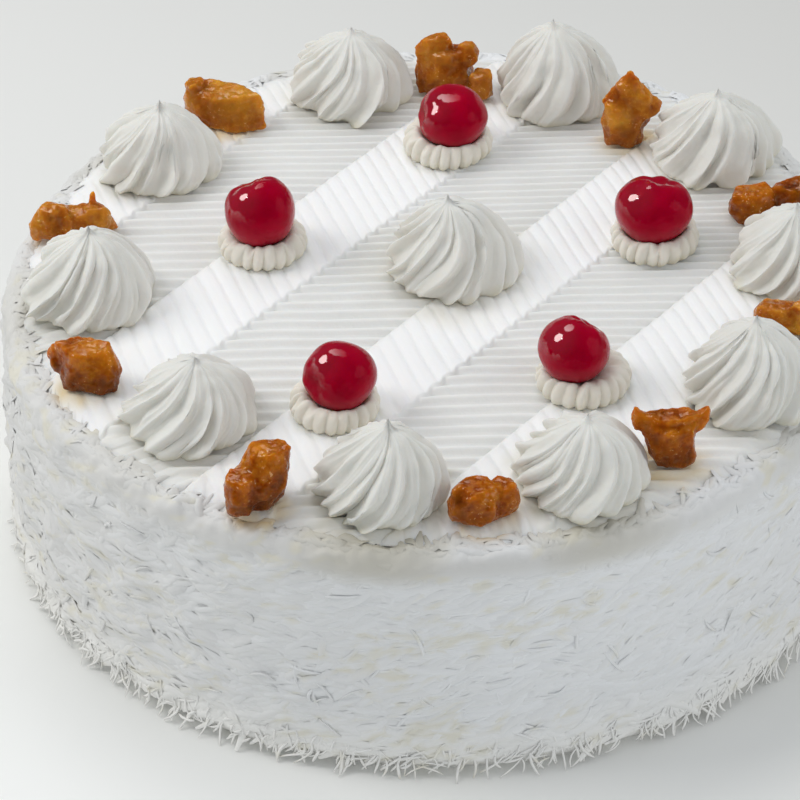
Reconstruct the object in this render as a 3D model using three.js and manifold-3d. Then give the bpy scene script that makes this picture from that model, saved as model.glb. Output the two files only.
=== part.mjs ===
// Coconut cake: a whole round cake under white icing. Its top is combed into a chevron of fine
// grooves, its side wears a coat of shredded coconut, and on top stand piped swirls, candied
// cherries on small piped rosettes, and chunks of candied fruit between the swirls.
// Millimetres, +Z up, origin at the middle of the underside.

import * as THREE from 'three';
import { ConvexGeometry } from 'three/addons/geometries/ConvexGeometry.js';
import { mergeVertices } from 'three/addons/utils/BufferGeometryUtils.js';
import Module from 'manifold-3d';

// Cake
const cakeRadius = 119.5;
const cakeHeight = 75;
const footInset = 1.5;
const rimDrop = 7;
const rimInset = 4;
const roundSteps = 54;
const restGap = 0.3;

// Combed top: bands run diagonally, and the grooves slant one way or the other in turn
const combRadius = 112;
const grooveDepth = 1.3;
const combProud = 0.4;
const combSink = 6;
const bandTurn = THREE.MathUtils.degToRad(51);
const bandEdges = [-125, -87, -53.5, -28, 5.5, 29, 58.5, 88, 125];
const nearSlant = -0.65;
const farSlant = 0.824;
const firstGroove = -27;
const lastGroove = 38;
const meanPitch = 5.1;
const pitchFade = 13.2;
const fadeGrooves = 12;

// Piped swirls
const swirlRidges = 16;
const swirlRidgeDepth = 0.15;
const swirlTwist = THREE.MathUtils.degToRad(48);
const swirlOutline = [[0, 0], [0.92, 0], [1, 0.14], [0.88, 0.44], [0.6, 0.72], [0.22, 0.92], [0, 1]];
const ringSwirls = [
  { bearing: 105, reach: 95.7, radius: 18.2, height: 22, lean: 1.2 },
  { bearing: 144.7, reach: 95.9, radius: 17.6, height: 22.5, lean: 1.3 },
  { bearing: 184.4, reach: 95.4, radius: 18, height: 24, lean: 1.2 },
  { bearing: 223.2, reach: 90.8, radius: 18.4, height: 20.5, lean: 2.2 },
  { bearing: 260.2, reach: 96.5, radius: 17.7, height: 24, lean: 2.1 },
  { bearing: 290.9, reach: 96.1, radius: 17.9, height: 20.5, lean: 2.2 },
  { bearing: 325.8, reach: 97.8, radius: 18.5, height: 25, lean: 1 },
  { bearing: 0.7, reach: 96.6, radius: 18.5, height: 21.5, lean: 0.4 },
  { bearing: 35.5, reach: 96.6, radius: 18.4, height: 22.7, lean: 0.4 },
  { bearing: 67.9, reach: 95.7, radius: 18.2, height: 26, lean: -1.7 },
];
const centreSwirl = { bearing: 46, reach: 5.8, radius: 18.9, height: 24, lean: -1.2 };

// Rosettes, each a small dish with a cherry sunk into it. A cherry is wide, deep and tall, and its
// stem hollow faces the bearing and rise given.
const rosetteRidges = 12;
const rosetteRidgeDepth = 0.08;
const rosetteTwist = 0.2;
const rosetteHeight = 6;
const lipReach = 0.84;
const rosetteOutline = [[0, 0], [0.94, 0], [1, 0.4], [lipReach, 1]];
const dishReach = 0.4;
const dishClearance = 0.9;
const floorClearance = 0.5;
const stemHollowDepth = 0.17;
const stemHollowSpread = 0.4;
const cherrySides = 12;
const cherryRings = 6;
const cherryPlaces = [
  { at: [3.5, 63.2], rosette: 13, size: [22, 20, 17.5], lift: 10.3, shift: 0.6, hollow: [190, 10] },
  { at: [-48.3, 15.2], rosette: 12.5, size: [19.8, 19, 21], lift: 12.2, shift: -0.4, hollow: [130, 60] },
  { at: [-28.4, -59], rosette: 12.3, size: [19.8, 19, 18.4], lift: 10.8, shift: 1.4, hollow: [218, 8] },
  { at: [37.5, -49.4], rosette: 12.7, size: [19.3, 19, 18.2], lift: 11.3, shift: -2.8, hollow: [40, 48] },
  { at: [59.6, 14.4], rosette: 12.4, size: [21.6, 20, 20.4], lift: 11.6, shift: -0.6, hollow: [70, 70] },
];

// Candied fruit: each chunk is one or more facetted lumps, given as [across, along, up] from the
// chunk's middle, then [wide, deep, high], how wide its foot and crown are beside its waist, and
// how far the crown leans across and along
const lumpRings = 3;
const lumpCorners = 5;
const fruitSeed = 501;
const fruitChunks = [
  {
    at: [-59.7, 77.3],
    turn: -12,
    lumps: [
      [[0, 0, 0], [25, 11.5, 11.5], [0.94, 0.94], [-1, 0.5]],
      [[-9, 1.5, 0], [7, 8, 13.5], [1, 0.8], [0, 0]],
    ],
  },
  {
    at: [-100.4, 24.4],
    turn: 4,
    lumps: [
      [[-5.5, -0.5, 0], [14.5, 11, 10], [1, 0.55], [0, 0]],
      [[4, 0, 0], [16, 9, 8], [1, 0.8], [-1, 0]],
      [[5, 2, 4], [3.2, 3, 8], [1, 0.5], [0.5, 0]],
    ],
  },
  {
    at: [-93.4, -46.4],
    turn: -14,
    lumps: [
      [[0.5, 0, 0], [19.5, 12.5, 12.5], [0.85, 0.8], [-1, 1]],
      [[-8, 1, 3], [6, 6, 8.5], [0.7, 0.5], [-1, 1]],
    ],
  },
  {
    at: [-48.2, -98.4],
    turn: 16,
    lumps: [
      [[0.5, 1, 0], [18.5, 14, 17], [0.72, 0.66], [3.5, 1]],
      [[-5, -1.5, 0], [10, 10, 12.5], [0.8, 0.8], [1, 0]],
    ],
  },
  {
    at: [9, -104.9],
    turn: 0,
    lumps: [
      [[-2.2, 0, 0], [15, 13, 10.5], [0.9, 0.74], [0.5, 0]],
      [[4.8, 2, 0], [9.6, 9, 9.4], [0.95, 0.8], [1, 0]],
    ],
  },
  {
    at: [58.2, -83.5],
    turn: 0,
    lumps: [
      [[0.8, 0, 0], [14.5, 10, 13], [0.8, 0.95], [-0.5, 0]],
      [[-0.5, 1, 6], [17, 7, 9], [0.8, 1], [0, 0]],
      [[-7, 1.5, 9.5], [5, 5, 7.5], [1, 0.4], [-2, 0]],
      [[6.5, 1.5, 9.5], [5.5, 5, 7.5], [1, 0.35], [3, 0]],
    ],
  },
  {
    at: [94, -27],
    turn: -8,
    lumps: [
      [[-4, 0, 0], [15, 10, 8.5], [0.95, 0.8], [0, 0]],
      [[5, 0, 0], [13, 10, 9.5], [1, 0.8], [0, 0]],
    ],
  },
  {
    at: [94, 28],
    turn: 12,
    lumps: [
      [[-7.5, -0.5, 0], [14, 11, 9.5], [0.95, 0.85], [0, 0]],
      [[5, 0.5, 0], [17, 10, 8.5], [0.95, 0.85], [0, 0]],
    ],
  },
  {
    at: [55.4, 64.3],
    turn: 0,
    lumps: [
      [[-2.5, 0, 0], [13, 10, 14], [0.85, 0.8], [0, 0]],
      [[-0.5, 1, 5], [16, 8, 19], [0.8, 0.14], [0, 0]],
      [[2.5, 1, 8], [12, 7, 7], [0.8, 0.4], [2.5, 0]],
    ],
  },
  {
    at: [5.6, 92],
    turn: 0,
    lumps: [
      [[-2, 1, 0], [20, 12, 14], [0.9, 0.75], [-0.5, 1]],
      [[-6, 2, 11], [11, 6, 6], [0.9, 0.8], [1.5, 1]],
      [[3.5, 1, 9], [8, 7, 7], [0.9, 0.6], [0.5, 0]],
      [[8, -3.5, 0], [7.5, 7.5, 8.5], [0.95, 0.9], [0, 0]],
    ],
  },
];

// Coconut: curved strips sunk into the icing, with free ends that stand proud of it. Each kind is
// scattered between two heights, or two slopes of the rim, with ranges for its other sizes.
const shredWidth = 1.9;
const shredThickness = 1.3;
const shredSink = 1.6;
const coconutSeed = 20611;
const sideShreds = {
  count: 97, heights: [9, 68], tilt: 1.1, length: [12, 18], arch: [2, 4.5], end: [1, 4.2],
};
const footShreds = {
  count: 27, heights: [4, 6.5], tilt: 0.35, length: [8, 11], arch: [2, 4], end: [2.5, 4.6],
};
const rimShreds = {
  count: 40, slopes: [0.15, 1.3], tilt: 1, length: [10, 15], arch: [1.5, 3], end: [0.5, 3],
};
const rimReach = [combRadius + 1.5, cakeRadius - 0.5];
const rimHeights = [cakeHeight - rimDrop, cakeHeight - 2];
const footShredInset = 0.5;
const goldenTurn = Math.PI * (3 - Math.sqrt(5));
const clearOfToppings = 2.2;
const clearBelow = cakeHeight - 4;
const fruitClearRadius = 13;

const wasm = await Module();
wasm.setup();

function solidFrom(geometry) {
  const bare = new THREE.BufferGeometry();
  bare.setAttribute('position', geometry.getAttribute('position'));
  bare.setIndex(geometry.index);
  const merged = mergeVertices(bare, 1e-4);
  const mesh = new wasm.Mesh({
    numProp: 3,
    vertProperties: merged.attributes.position.array,
    triVerts: new Uint32Array(merged.index.array),
  });
  return new wasm.Manifold(mesh);
}

function geometryFrom(solid) {
  const mesh = solid.getMesh();
  const geometry = new THREE.BufferGeometry();
  geometry.setAttribute('position', new THREE.BufferAttribute(mesh.vertProperties, 3));
  geometry.setIndex(new THREE.BufferAttribute(mesh.triVerts, 1));
  return geometry;
}

// The outer shell alone: closes hollows sealed by joining and drops loose scraps.
function largestBody(solid) {
  const bodies = solid.decompose();
  return bodies.reduce((best, body) => (body.volume() > best.volume() ? body : best));
}

function joined(solids) {
  return solids.reduce((whole, solid) => whole.add(solid));
}

function randomFrom(seed) {
  let state = seed;
  return (low, high) => {
    state = (state * 16807) % 2147483647;
    return low + ((high - low) * state) / 2147483647;
  };
}

function polar(bearing, reach) {
  const angle = THREE.MathUtils.degToRad(bearing);
  return [reach * Math.cos(angle), reach * Math.sin(angle)];
}

function lathed(outline, segments) {
  const geometry = new THREE.LatheGeometry(outline.map(([x, y]) => new THREE.Vector2(x, y)), segments);
  return geometry.rotateX(Math.PI / 2);
}

function reshape(geometry, move) {
  const positions = geometry.getAttribute('position');
  const point = new THREE.Vector3();
  for (let i = 0; i < positions.count; i += 1) {
    point.fromBufferAttribute(positions, i);
    move(point);
    positions.setXYZ(i, point.x, point.y, point.z);
  }
  return geometry;
}

// Groove number to distance along a band: the comb's pitch shrinks from front left to back right.
function alongBand(groove) {
  return meanPitch * groove - pitchFade * Math.log(Math.cosh(groove / fadeGrooves));
}

// How far the zigzag has moved the grooves along by the distance s across the bands.
function zigzagShift(s) {
  const slopeAt = (band) => (band % 2 === 0 ? nearSlant : farSlant);
  let shift = 0;
  for (let band = 0; band < bandEdges.length - 1; band += 1) {
    const low = THREE.MathUtils.clamp(s, bandEdges[band], bandEdges[band + 1]);
    const origin = THREE.MathUtils.clamp(0, bandEdges[band], bandEdges[band + 1]);
    shift += slopeAt(band) * (low - origin);
  }
  return shift;
}

function combedTop() {
  const bands = bandEdges.length - 1;
  const rows = 2 * (lastGroove - firstGroove);
  const slab = new THREE.BoxGeometry(bands, rows, 2, bands, rows, 1);
  reshape(slab, (p) => {
    const s = bandEdges[Math.round(p.x + bands / 2)];
    const row = Math.round(p.y + rows / 2);
    const t = alongBand(firstGroove + row / 2) + zigzagShift(s);
    const crest = row % 2 === 0;
    const top = crest ? cakeHeight : cakeHeight - grooveDepth;
    p.z = p.z > 0 ? top : cakeHeight - combSink;
    p.x = s * Math.sin(bandTurn) + t * Math.cos(bandTurn);
    p.y = -s * Math.cos(bandTurn) + t * Math.sin(bandTurn);
  });
  const disc = new THREE.CylinderGeometry(combRadius, combRadius, 3 * combSink, roundSteps);
  disc.rotateX(Math.PI / 2);
  disc.translate(0, 0, cakeHeight);
  return solidFrom(slab).intersect(solidFrom(disc));
}

function icedCake() {
  const shoulder = cakeHeight - grooveDepth - combProud;
  const outline = [
    [0, 0],
    [cakeRadius - footInset, 0],
    [cakeRadius, 4],
    [cakeRadius, cakeHeight - rimDrop],
    [cakeRadius - 0.3 * rimInset, cakeHeight - 0.45 * rimDrop],
    [cakeRadius - rimInset, shoulder],
    [0, shoulder],
  ];
  return solidFrom(lathed(outline, roundSteps));
}

const toppings = [...ringSwirls, centreSwirl].map((swirl) => {
  const [x, y] = polar(swirl.bearing, swirl.reach);
  return { x, y, radius: swirl.radius };
});
fruitChunks.forEach(({ at: [x, y] }) => toppings.push({ x, y, radius: fruitClearRadius }));

function clearsToppings(curve) {
  return curve.getPoints(8).every((p) => p.z < clearBelow
    || toppings.every((t) => Math.hypot(p.x - t.x, p.y - t.y) > t.radius + clearOfToppings));
}

// A strip that starts inside the icing, arches over it and ends at a height above it.
function shred(middle, outward, along, length, arch, endLift) {
  const start = middle.clone().addScaledVector(along, -length / 2).addScaledVector(outward, -shredSink);
  const control = middle.clone().addScaledVector(outward, arch);
  const end = middle.clone().addScaledVector(along, length / 2).addScaledVector(outward, endLift);
  return new THREE.QuadraticBezierCurve3(start, control, end);
}

// The direction a strip runs in: level round the cake, tilted up across the slope it lies on.
function tilted(round, outward, tilt) {
  const across = new THREE.Vector3().crossVectors(outward, round).normalize();
  return round.clone().multiplyScalar(Math.cos(tilt)).addScaledVector(across, Math.sin(tilt));
}

function roundAndOut(angle) {
  const out = new THREE.Vector3(Math.cos(angle), Math.sin(angle), 0);
  return [new THREE.Vector3(-out.y, out.x, 0), out];
}

function wallShred(kind, angle, radius, height, random) {
  const [round, out] = roundAndOut(angle);
  const along = tilted(round, out, random(-kind.tilt, kind.tilt));
  const middle = out.clone().multiplyScalar(radius).setZ(height);
  return shred(middle, out, along, random(...kind.length), random(...kind.arch), random(...kind.end));
}

function rimShred(kind, angle, random) {
  const [round, out] = roundAndOut(angle);
  const slope = random(...kind.slopes);
  const outward = out.clone().multiplyScalar(Math.sin(slope)).setZ(Math.cos(slope));
  const along = tilted(round, outward, random(-kind.tilt, kind.tilt));
  const middle = out.clone().multiplyScalar(THREE.MathUtils.lerp(...rimReach, Math.sin(slope)));
  middle.setZ(THREE.MathUtils.lerp(...rimHeights, Math.cos(slope)));
  return shred(middle, outward, along, random(...kind.length), random(...kind.arch), random(...kind.end));
}

function shredCurves() {
  const random = randomFrom(coconutSeed);
  const curves = [];
  for (let i = 0; i < sideShreds.count; i += 1) {
    const height = THREE.MathUtils.lerp(...sideShreds.heights, (i + 0.5) / sideShreds.count);
    curves.push(wallShred(sideShreds, i * goldenTurn, cakeRadius, height, random));
  }
  for (let i = 0; i < footShreds.count; i += 1) {
    const angle = (i + random(-0.3, 0.3)) * (2 * Math.PI / footShreds.count);
    const height = random(...footShreds.heights);
    curves.push(wallShred(footShreds, angle, cakeRadius - footShredInset, height, random));
  }
  for (let i = 0; i < rimShreds.count; i += 1) {
    curves.push(rimShred(rimShreds, i * goldenTurn, random));
  }
  return curves.filter(clearsToppings);
}

function shredSolid(curve) {
  const section = new THREE.Shape();
  section.moveTo(-shredThickness / 2, -shredWidth / 2);
  section.lineTo(shredThickness / 2, -shredWidth / 2);
  section.lineTo(shredThickness / 2, shredWidth / 2);
  section.lineTo(-shredThickness / 2, shredWidth / 2);
  section.closePath();
  return solidFrom(new THREE.ExtrudeGeometry(section, { steps: 2, extrudePath: curve }));
}

function cakeBody() {
  const iced = icedCake().add(combedTop());
  return largestBody(joined([iced, ...shredCurves().map(shredSolid)]));
}

// Ridges run up the form, alternate columns out and in, and turn as they rise.
function ridged(outline, ridges, depth, twist, radius, height, lean) {
  const steps = 2 * ridges;
  const sized = outline.map(([reach, rise]) => [reach * radius, rise * height]);
  return reshape(lathed(sized, steps), (p) => {
    const angle = Math.atan2(p.y, p.x);
    const column = Math.round((angle / (2 * Math.PI)) * steps);
    const rise = p.z / height;
    const reach = Math.hypot(p.x, p.y) * (column % 2 === 0 ? 1 : 1 - depth);
    const turned = angle + twist * rise;
    p.x = reach * Math.cos(turned) + lean * rise ** 2;
    p.y = reach * Math.sin(turned);
  });
}

function pipedSwirl({ radius, height, lean }) {
  return ridged(swirlOutline, swirlRidges, swirlRidgeDepth, swirlTwist, radius, height, lean);
}

function cherry({ size: [wide, deep, tall], hollow: [bearing, rise] }) {
  const [hx, hy] = polar(bearing, Math.cos(THREE.MathUtils.degToRad(rise)));
  const hollowAim = new THREE.Vector3(hx, hy, Math.sin(THREE.MathUtils.degToRad(rise)));
  const ball = new THREE.SphereGeometry(1, cherrySides, cherryRings).rotateX(Math.PI / 2);
  return reshape(ball, (p) => {
    const off = p.angleTo(hollowAim) / stemHollowSpread;
    p.multiplyScalar(1 - stemHollowDepth * Math.exp(-off * off));
    p.set(p.x * wide / 2, p.y * deep / 2, p.z * tall / 2);
  });
}

// The dish follows the cherry's underside a little below it, and moves aside with it.
function rosette({ rosette: radius, size: [wide, , tall], lift, shift }) {
  const across = (dishReach * radius) / (wide / 2);
  const underside = lift - (tall / 2) * Math.sqrt(1 - across * across);
  const floor = lift - tall / 2 - floorClearance;
  const dish = [[dishReach, (underside - dishClearance) / rosetteHeight], [0, floor / rosetteHeight]];
  const outline = [...rosetteOutline, ...dish];
  const piped = ridged(outline, rosetteRidges, rosetteRidgeDepth, rosetteTwist, radius, rosetteHeight, 0);
  return reshape(piped, (p) => {
    const withinLip = Math.hypot(p.x, p.y) < (lipReach + 0.01) * radius;
    p.x += withinLip ? shift : 0;
  });
}

// A facetted lump: the hull of three uneven rings of corners, at its foot, waist and crown.
function lump([across, along, up], [wide, deep, high], [foot, crown], [leanX, leanY], random) {
  const points = [];
  for (let ring = 0; ring < lumpRings; ring += 1) {
    const rise = ring / (lumpRings - 1);
    const girth = [foot, 1, crown][ring];
    for (let corner = 0; corner < lumpCorners; corner += 1) {
      const turn = ((corner + ring / lumpRings + random(-0.18, 0.18)) * 2 * Math.PI) / lumpCorners;
      const reach = girth * random(0.92, 1.1);
      const level = ring === 0 ? 0 : rise - random(0, 0.14);
      points.push(new THREE.Vector3(
        across + (reach * wide * Math.cos(turn)) / 2 + leanX * rise,
        along + (reach * deep * Math.sin(turn)) / 2 + leanY * rise,
        up + level * high,
      ));
    }
  }
  return new ConvexGeometry(points);
}

function fruitChunk(chunk, index) {
  const random = randomFrom(fruitSeed + 77 * index);
  const lumps = chunk.lumps.map((sizes) => solidFrom(lump(...sizes, random)));
  const geometry = geometryFrom(largestBody(joined(lumps)));
  return geometry.rotateZ(THREE.MathUtils.degToRad(chunk.turn));
}

const creamIcing = new THREE.MeshStandardMaterial({ color: 0xf3f2ec, roughness: 0.6, metalness: 0 });
const pipedCream = new THREE.MeshStandardMaterial({ color: 0xf1efe6, roughness: 0.5, metalness: 0 });
const cherryRed = new THREE.MeshStandardMaterial({ color: 0x9c0a1c, roughness: 0.15, metalness: 0 });
const amberFruit = new THREE.MeshStandardMaterial({ color: 0xa4571a, roughness: 0.35, metalness: 0 });

const cake = new THREE.Group();

function place(name, geometry, material, x, y, z) {
  geometry.computeVertexNormals();
  const mesh = new THREE.Mesh(geometry, material);
  mesh.name = name;
  mesh.position.set(x, y, z);
  cake.add(mesh);
}

const twoDigits = (number) => String(number).padStart(2, '0');
const standing = cakeHeight + restGap;

place('cake_body', geometryFrom(cakeBody()), creamIcing, 0, 0, 0);

ringSwirls.forEach((swirl, index) => {
  const [x, y] = polar(swirl.bearing, swirl.reach);
  place(`swirl_${twoDigits(index + 1)}`, pipedSwirl(swirl), pipedCream, x, y, standing);
});
const [centreX, centreY] = polar(centreSwirl.bearing, centreSwirl.reach);
place('swirl_centre', pipedSwirl(centreSwirl), pipedCream, centreX, centreY, standing);

cherryPlaces.forEach((spot, index) => {
  const [x, y] = spot.at;
  place(`rosette_${index + 1}`, rosette(spot), pipedCream, x, y, standing);
  place(`cherry_${index + 1}`, cherry(spot), cherryRed, x + spot.shift, y, standing + spot.lift);
});

fruitChunks.forEach((chunk, index) => {
  const [x, y] = chunk.at;
  place(`fruit_${twoDigits(index + 1)}`, fruitChunk(chunk, index), amberFruit, x, y, standing);
});

export default cake;
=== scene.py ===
import math

import bmesh
import bpy
import numpy as np
from mathutils import Matrix, Vector, noise


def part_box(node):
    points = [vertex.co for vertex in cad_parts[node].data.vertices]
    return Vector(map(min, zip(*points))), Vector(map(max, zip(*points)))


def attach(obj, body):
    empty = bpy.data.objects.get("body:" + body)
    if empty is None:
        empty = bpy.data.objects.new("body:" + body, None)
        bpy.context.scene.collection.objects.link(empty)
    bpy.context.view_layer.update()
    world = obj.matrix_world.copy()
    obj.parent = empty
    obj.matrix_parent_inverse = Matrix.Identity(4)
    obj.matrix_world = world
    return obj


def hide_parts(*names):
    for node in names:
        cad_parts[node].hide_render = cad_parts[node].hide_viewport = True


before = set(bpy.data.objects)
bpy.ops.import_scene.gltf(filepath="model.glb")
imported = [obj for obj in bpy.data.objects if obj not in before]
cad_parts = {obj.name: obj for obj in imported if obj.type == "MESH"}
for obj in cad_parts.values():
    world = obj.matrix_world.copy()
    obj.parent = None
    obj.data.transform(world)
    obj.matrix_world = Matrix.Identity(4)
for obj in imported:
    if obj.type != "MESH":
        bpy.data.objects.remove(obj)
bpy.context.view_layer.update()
mm = 0.001
print("frame loaded:", len(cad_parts), "nodes")


# small helpers that every piece uses
def dropSelection():
    if bpy.context.mode != "OBJECT":
        bpy.ops.object.mode_set(mode="OBJECT")
    bpy.ops.object.select_all(action="DESELECT")


def takeNew(name):
    piece = bpy.context.object
    piece.name = name
    piece.data.name = name
    bpy.ops.object.transform_apply(location=True, rotation=True, scale=True)
    return piece


def select(piece):
    dropSelection()
    piece.select_set(True)
    bpy.context.view_layer.objects.active = piece


def editVerts(piece, chosen):   # leaves edit mode on, with only the chosen vertices selected
    bpy.ops.object.mode_set(mode="EDIT")
    bpy.ops.mesh.select_mode(type="VERT")
    mesh = bmesh.from_edit_mesh(piece.data)
    for vert in mesh.verts:
        vert.select = bool(chosen(vert))
    mesh.select_flush(True)
    bmesh.update_edit_mesh(piece.data)


def applyModifier(piece, kind, **settings):
    modifier = piece.modifiers.new(kind.title(), kind)
    for key, value in settings.items():
        setattr(modifier, key, value)
    bpy.context.view_layer.objects.active = piece
    bpy.ops.object.modifier_apply(modifier=modifier.name)


def subdivide(piece, levels):
    applyModifier(piece, "SUBSURF", levels=levels, render_levels=levels)


def cloudTexture(name, size, depth=2):
    texture = bpy.data.textures.new(name, "CLOUDS")
    texture.noise_scale = size
    texture.noise_depth = depth
    return texture


def roughen(piece, texture, strength):
    applyModifier(piece, "DISPLACE", texture=texture, strength=strength, mid_level=0.5,
                  texture_coords="GLOBAL")


def smooth(piece):
    select(piece)
    bpy.ops.object.shade_smooth()


def getPlaces(mesh):
    places = np.empty(len(mesh.vertices) * 3)
    mesh.vertices.foreach_get("co", places)
    return places.reshape(-1, 3)


def setPlaces(mesh, places):
    mesh.vertices.foreach_set("co", places.ravel())
    mesh.update()


def paint(mesh, name, values):   # one number for each vertex, read by a material
    layer = mesh.attributes.new(name, "FLOAT", "POINT")
    layer.data.foreach_set("value", np.asarray(values, np.float32))


# a circle extruded ring by ring, and the order in which the mesh keeps its points
def ringedPiece(name, columns, rings):
    dropSelection()
    bpy.ops.mesh.primitive_circle_add(vertices=columns, radius=1)
    piece = takeNew(name)
    editVerts(piece, lambda vert: True)
    for _ in range(rings - 1):
        bpy.ops.mesh.extrude_edges_move(TRANSFORM_OT_translate={"value": (0, 0, 1)})
    dropSelection()
    return piece, np.argsort(getPlaces(piece.data)[:, 2], kind="stable")


def inOrder(order, rings):   # values by ring and column, put in the mesh's order
    moved = np.empty_like(rings)
    moved[order] = rings
    return moved


def pinchTip(piece, size, pull, lift, highest):   # draws a swirl's top out to a small, leaning peak
    places = getPlaces(piece.data)
    tip = places[places[:, 2].argmax()].copy()
    near = np.exp(-(np.linalg.norm((places - tip)[:, :2], axis=1) / size) ** 2)[:, None]
    places += pull * near * (tip - places) * (1, 1, 0) + near ** 2 * (0, 0, lift)
    places[:, 2] -= np.maximum(places[:, 2].max() - highest, 0) * near[:, 0]
    setPlaces(piece.data, places)


def closeRings(piece):   # a face under the first ring, a point in the middle of the last
    foot = getPlaces(piece.data)[:, 2].min()
    editVerts(piece, lambda vert: vert.is_boundary and vert.co.z < foot + 0.01 * mm)
    bpy.ops.mesh.edge_face_add()
    editVerts(piece, lambda vert: vert.is_boundary)
    bpy.ops.mesh.extrude_edges_move()
    bpy.ops.mesh.merge(type="CENTER")
    bpy.ops.mesh.select_all(action="SELECT")
    bpy.ops.mesh.normals_make_consistent(inside=False)
    dropSelection()


def pushMarks(piece, marks):   # each mark is a place in metres, a size and a push along the skin, both in mm
    places = getPlaces(piece.data)
    outward = np.empty(len(places) * 3)
    piece.data.vertex_normals.foreach_get("vector", outward)
    for place, size, push in marks:
        away = np.linalg.norm(places - np.array(place), axis=1) / (size * mm)
        places = places + outward.reshape(-1, 3) * (push * mm * np.exp(-away ** 2))[:, None]
    setPlaces(piece.data, places)


def finishPiece(piece, material, slot, *nodes):
    piece.data.materials.clear()
    piece.data.materials.append(material)
    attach(piece, "root")
    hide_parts(*nodes)


class Wire:   # one output of a node, so that shader maths reads as an expression
    def __init__(self, finish, socket):
        self.finish = finish
        self.socket = socket

    def maths(self, operation, *values):
        return self.finish.node("ShaderNodeMath", {"operation": operation}, dict(enumerate(values)))

    def __add__(self, other):
        return self.maths("ADD", self, other)

    def __mul__(self, other):
        return self.maths("MULTIPLY", self, other)

    __radd__ = __add__
    __rmul__ = __mul__


class Finish:   # a material under construction
    def __init__(self, name, **constants):
        self.material = bpy.data.materials.new(name)
        self.material.use_nodes = True
        self.tree = self.material.node_tree
        self.shader = self.tree.nodes["Principled BSDF"]
        for key, value in constants.items():
            self.shader.inputs[key.replace("_", " ")].default_value = value

    def node(self, kind, settings, inputs, output=0):
        made = self.tree.nodes.new(kind)
        for key, value in settings.items():
            if key == "stops":
                self.setStops(made.color_ramp, value)
            else:
                setattr(made, key, value)
        for key, value in inputs.items():
            self.link(value, made.inputs[key])
        return Wire(self, made.outputs[output])

    def setStops(self, ramp, stops):
        while len(ramp.elements) < len(stops):
            ramp.elements.new(0.5)
        for element, (place, colour) in zip(ramp.elements, stops):
            element.position = place
            element.color = (*colour, 1)

    def link(self, value, socket):
        if isinstance(value, Wire):
            self.tree.links.new(value.socket, socket)
        else:
            socket.default_value = value

    def place(self):
        return self.node("ShaderNodeTexCoord", {}, {}, "Object")

    def noise(self, size, detail=3, roughness=0.5):
        settings = {"Vector": self.place(), "Scale": 1 / size, "Detail": detail, "Roughness": roughness}
        return self.node("ShaderNodeTexNoise", {}, settings, "Fac")

    def painted(self, name):
        return self.node("ShaderNodeAttribute", {"attribute_name": name}, {}, "Fac")

    def clampRange(self, value, low, high, newLow=0.0, newHigh=1.0):
        inputs = {"Value": value, "From Min": low, "From Max": high, "To Min": newLow, "To Max": newHigh}
        return self.node("ShaderNodeMapRange", {"clamp": True}, inputs)

    def mixColour(self, factor, first, second):
        made = self.tree.nodes.new("ShaderNodeMix")
        made.data_type = "RGBA"
        factorSocket, firstSocket, secondSocket, result = 0, 6, 7, 2   # those of the node's colour mode
        self.link(factor, made.inputs[factorSocket])
        for colour, socket in ((first, firstSocket), (second, secondSocket)):
            self.link(colour if isinstance(colour, Wire) else (*colour, 1), made.inputs[socket])
        return Wire(self, made.outputs[result])

    def along(self, axis):   # metres from the middle of the underside
        return self.node("ShaderNodeSeparateXYZ", {}, {"Vector": self.place()}, axis)

    def bump(self, height, depth, before=None):
        inputs = {"Height": height, "Distance": depth, "Strength": 1.0}
        if before is not None:
            inputs["Normal"] = before
        return self.node("ShaderNodeBump", {}, inputs, "Normal")

    def feed(self, **wires):
        for key, value in wires.items():
            self.link(value, self.shader.inputs[key.replace("_", " ")])
        return self.material


colours = dict(
    icingLevelShaded=((0.83, 0.83, 0.81), (0.87, 0.87, 0.855)),
    icingSlantedLit=((0.95, 0.952, 0.95), (0.98, 0.982, 0.98)),
    icingFootShadeAndButter=(0.66, 0.61, 0.47), icingSyrup=(0.9, 0.7, 0.36),
    piped=((0.765, 0.757, 0.71), (0.815, 0.81, 0.77)), rosette=((0.8, 0.755, 0.665), (0.85, 0.81, 0.725)),
    pipedFootShadeAndButter=(0.66, 0.6, 0.38), pipedValleyShade=(0.72, 0.695, 0.61),
    coconutDeepAndShade=(0.71, 0.702, 0.68), coconutPale=(0.87, 0.884, 0.9), coconutFoot=(0.96, 0.945, 0.9),
    coconutHollow=(0.76, 0.72, 0.57), coconutBase=(0.55, 0.52, 0.43), coconutSyrup=(0.78, 0.56, 0.24),
    cherry=((0.24, 0.0004, 0.011), (0.44, 0.0006, 0.022)), sugar=(0.9, 0.62, 0.34),
    fruitAmber=((0.17, 0.027, 0.002), (0.345, 0.082, 0.0045), (0.62, 0.29, 0.03)),
    fruitBrown=((0.085, 0.011, 0.0005), (0.275, 0.047, 0.001), (0.55, 0.2, 0.01)))
creamGlow = dict(Subsurface_Radius=(1.0, 0.85, 0.7), IOR=1.4)


def creamNormal(finish, smear):   # fine grain over soft smears
    grain = finish.noise(0.7 * mm, detail=5, roughness=0.65)
    return finish.bump(grain, 0.05 * mm, finish.bump(smear, 0.25 * mm))


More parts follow.
